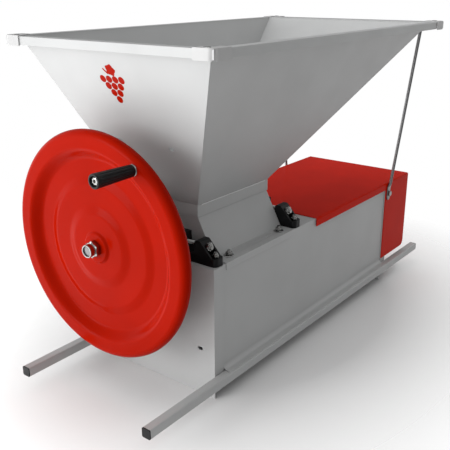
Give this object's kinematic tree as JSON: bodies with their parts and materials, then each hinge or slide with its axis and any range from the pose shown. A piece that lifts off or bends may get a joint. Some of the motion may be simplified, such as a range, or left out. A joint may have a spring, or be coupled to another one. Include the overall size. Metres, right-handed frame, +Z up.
{
  "type": "grape crusher destemmer",
  "caption": "Hand-cranked crusher destemmer: hopper over two lobed rollers, drum with beater and grid below, red flywheel, stem hood and skids.",
  "frame": {"origin": "middle of the machine's outline, at the level of the end panels' lower edges", "axes": "+X from the flywheel towards the stem outlet, +Z up, +Y towards the side of the flywheel's shaft"},
  "size_m": [1.154, 0.5254, 0.7038],
  "materials": {
    "grey_paint": "light grey powder coat, satin",
    "red_paint": "glossy red enamel",
    "black_plastic": "black moulded nylon",
    "zinc_steel": "bright zinc plate",
    "shaft_steel": "ground steel",
    "gear_iron": "black oiled iron",
    "roller_alloy": "cast alloy, tumbled",
    "stainless": "stainless sheet",
    "bronze": "sintered bronze"
  },
  "bodies": {
    "frame": {"front_end_panel": "grey_paint", "rear_end_panel": "grey_paint", "right_side_panel": "grey_paint", "left_side_panel": "grey_paint", "right_skid_tube": "grey_paint", "left_skid_tube": "grey_paint", "top_deck": "grey_paint", "crusher_front_plate": "grey_paint", "crusher_rear_plate": "grey_paint", "right_skirt": "grey_paint", "left_skirt": "grey_paint", "hopper_collar": "grey_paint", "hopper_front_panel": "grey_paint", "hopper_rear_panel": "grey_paint", "hopper_right_panel": "grey_paint", "hopper_left_panel": "grey_paint", "hopper_corner_caps": "grey_paint", "rear_bearing_bracket": "grey_paint", "stem_cover": "red_paint", "skid_end_plugs": "black_plastic", "right_front_block": "black_plastic", "right_rear_block": "black_plastic", "left_front_block": "black_plastic", "left_rear_block": "black_plastic", "right_strut": "zinc_steel", "left_strut": "zinc_steel", "strut_bolts": "zinc_steel", "cap_screws": "zinc_steel", "housing_bolts": "zinc_steel", "housing_washers": "zinc_steel", "deck_nuts": "zinc_steel", "block_bolts": "zinc_steel", "block_screws": "zinc_steel", "bearing_bolts": "zinc_steel", "beater_front_bearing": "gear_iron", "beater_rear_bearing": "gear_iron", "destemming_grid": "stainless"},
    "crank_wheel": {"flywheel": "red_paint", "flywheel_hub": "zinc_steel", "hub_set_screw": "zinc_steel", "drive_spacer": "zinc_steel", "drive_shaft": "shaft_steel", "drive_gear": "gear_iron", "left_roller_gear": "gear_iron", "left_roller": "roller_alloy", "handle_bolt": "zinc_steel", "handle_washer": "zinc_steel", "handle_nut": "zinc_steel"},
    "handle": {"handle_grip": "black_plastic"},
    "roller_slide": {"front_sliding_bush": "bronze", "rear_sliding_bush": "bronze", "adjuster_screws": "zinc_steel", "adjuster_nuts": "zinc_steel"},
    "right_roller_group": {"right_roller": "roller_alloy", "right_roller_shaft": "shaft_steel", "right_roller_gear": "gear_iron"},
    "beater": {"beater_shaft": "shaft_steel", "beater_arms": "stainless", "beater_paddles": "stainless", "beater_pinion": "gear_iron"}
  },
  "joints": [
    {"name": "crank_spin", "type": "hinge", "parent": "frame", "child": "crank_wheel", "pos_m": [0, 0.03425, 0.315], "axis": [1, 0, 0], "continuous": true},
    {"name": "grip_spin", "type": "hinge", "parent": "crank_wheel", "child": "handle", "pos_m": [-0.53, -0.08143, 0.48846], "axis": [1, 0, 0], "continuous": true},
    {"name": "roller_gap", "type": "slide", "parent": "frame", "child": "roller_slide", "axis": [0, -1, 0], "range_m": [0, 0.005]},
    {"name": "right_roller_spin", "type": "hinge", "parent": "roller_slide", "child": "right_roller_group", "pos_m": [0, -0.04575, 0.315], "axis": [1, 0, 0], "continuous": true},
    {"name": "beater_spin", "type": "hinge", "parent": "frame", "child": "beater", "pos_m": [0, -0.00575, 0.16008], "axis": [1, 0, 0], "continuous": true}
  ],
  "couplings": [
    {"joint": "right_roller_spin", "follows": "crank_spin", "ratio": -1},
    {"joint": "beater_spin", "follows": "crank_spin", "ratio": -3}
  ]
}
